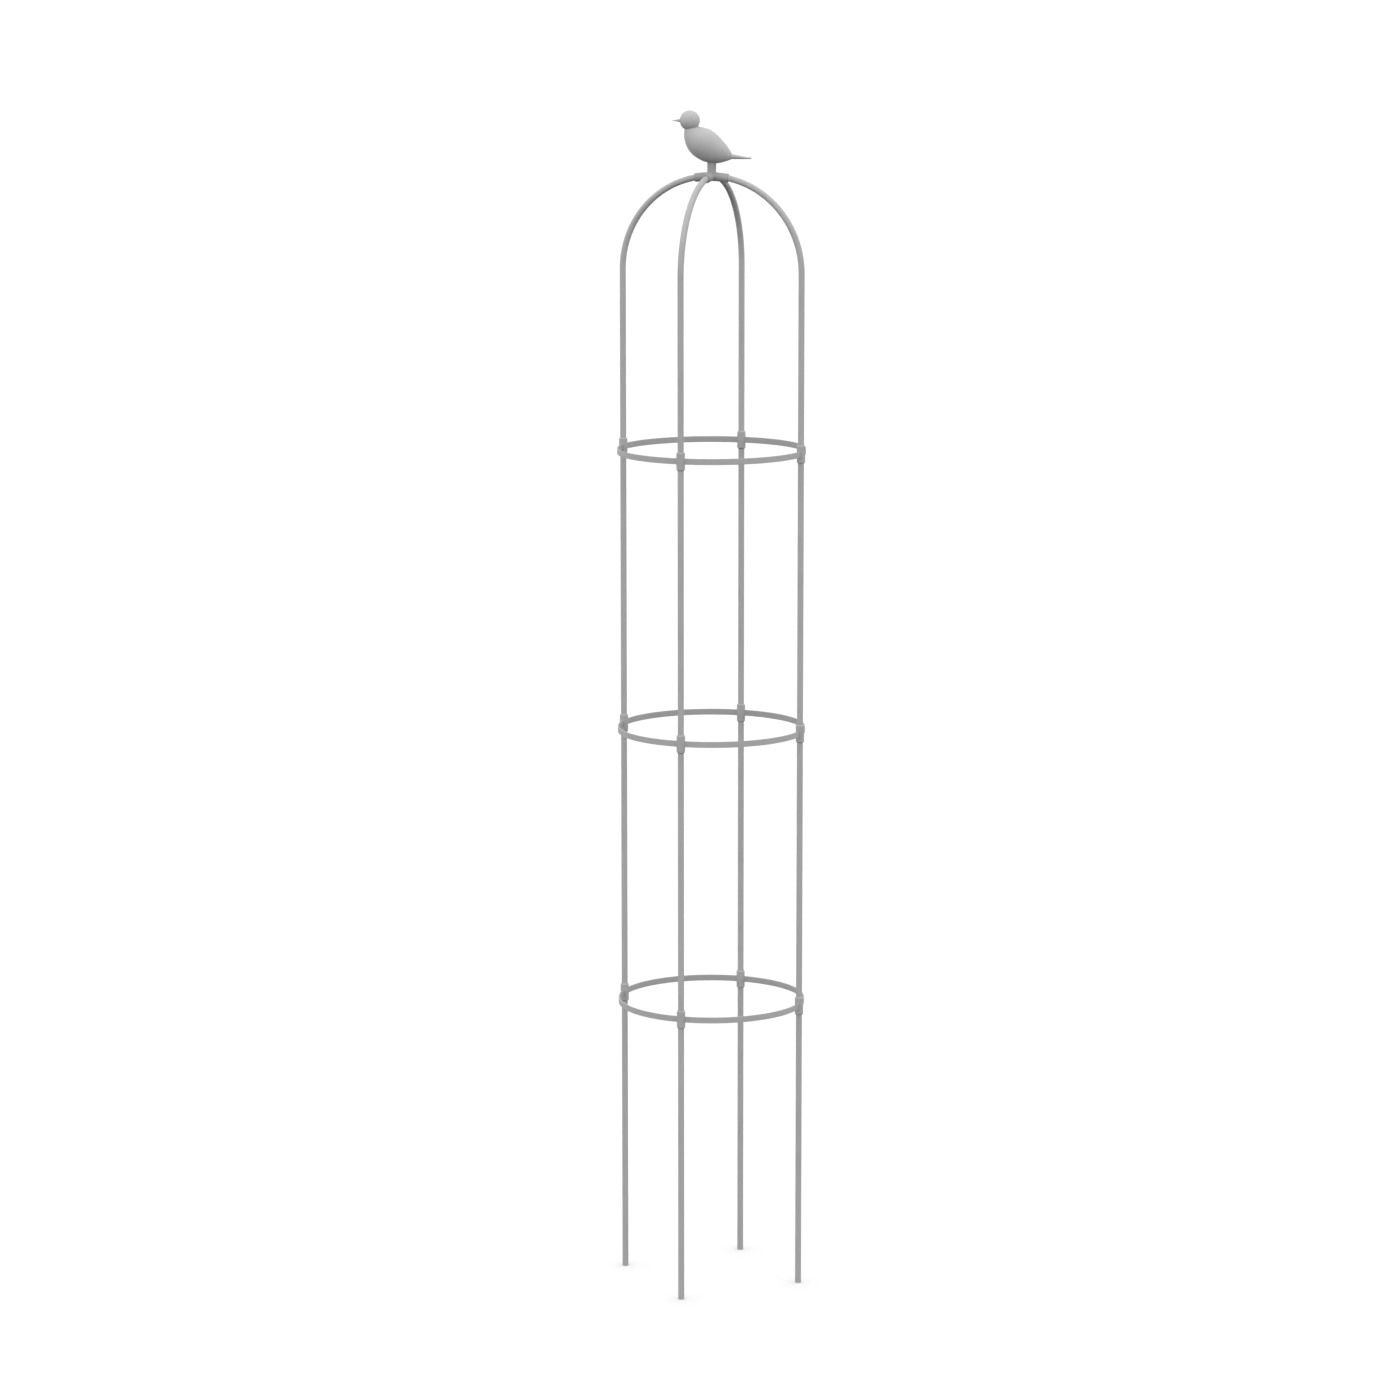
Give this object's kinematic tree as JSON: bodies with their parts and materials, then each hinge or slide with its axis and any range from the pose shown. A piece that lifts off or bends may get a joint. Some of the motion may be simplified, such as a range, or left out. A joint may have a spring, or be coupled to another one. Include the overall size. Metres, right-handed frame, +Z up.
{
  "type": "rose pergola",
  "caption": "Slender round garden column of steel tube for climbing roses, with flat ring bands, a domed top and a bird on the crown.",
  "frame": {"origin": "on the ground, in the middle of the circle of four posts", "axes": "+Z up along the column; the posts stand on +X (right), +Y (back), -X (left) and -Y (front)"},
  "size_m": [0.418, 0.418, 2.5376],
  "materials": {
    "tube_coating": "matt grey powder coat on round steel tube",
    "sleeve_coating": "matt grey powder coat on turned steel sleeves",
    "band_coating": "matt grey powder coat on flat steel strip",
    "hub_coating": "matt grey powder coat on the cast hub and its pin",
    "bird_coating": "matt grey powder coat on the cast bird"
  },
  "bodies": {
    "root": {"lower_leg_right": "tube_coating", "lower_leg_back": "tube_coating", "lower_leg_left": "tube_coating", "lower_leg_front": "tube_coating", "middle_post_right": "tube_coating", "middle_post_back": "tube_coating", "middle_post_left": "tube_coating", "middle_post_front": "tube_coating", "upper_post_right": "tube_coating", "upper_post_back": "tube_coating", "upper_post_left": "tube_coating", "upper_post_front": "tube_coating", "arch_tube_right": "tube_coating", "arch_tube_back": "tube_coating", "arch_tube_left": "tube_coating", "arch_tube_front": "tube_coating", "lower_sleeve_right": "sleeve_coating", "lower_sleeve_back": "sleeve_coating", "lower_sleeve_left": "sleeve_coating", "lower_sleeve_front": "sleeve_coating", "middle_sleeve_right": "sleeve_coating", "middle_sleeve_back": "sleeve_coating", "middle_sleeve_left": "sleeve_coating", "middle_sleeve_front": "sleeve_coating", "upper_sleeve_right": "sleeve_coating", "upper_sleeve_back": "sleeve_coating", "upper_sleeve_left": "sleeve_coating", "upper_sleeve_front": "sleeve_coating", "lower_band_right_back": "band_coating", "lower_band_back_left": "band_coating", "lower_band_left_front": "band_coating", "lower_band_front_right": "band_coating", "middle_band_right_back": "band_coating", "middle_band_back_left": "band_coating", "middle_band_left_front": "band_coating", "middle_band_front_right": "band_coating", "upper_band_right_back": "band_coating", "upper_band_back_left": "band_coating", "upper_band_left_front": "band_coating", "upper_band_front_right": "band_coating", "crown_hub": "hub_coating", "bird_spigot": "hub_coating", "bird_body": "bird_coating", "bird_head": "bird_coating", "bird_beak": "bird_coating", "bird_tail": "bird_coating"}
  },
  "joints": []
}
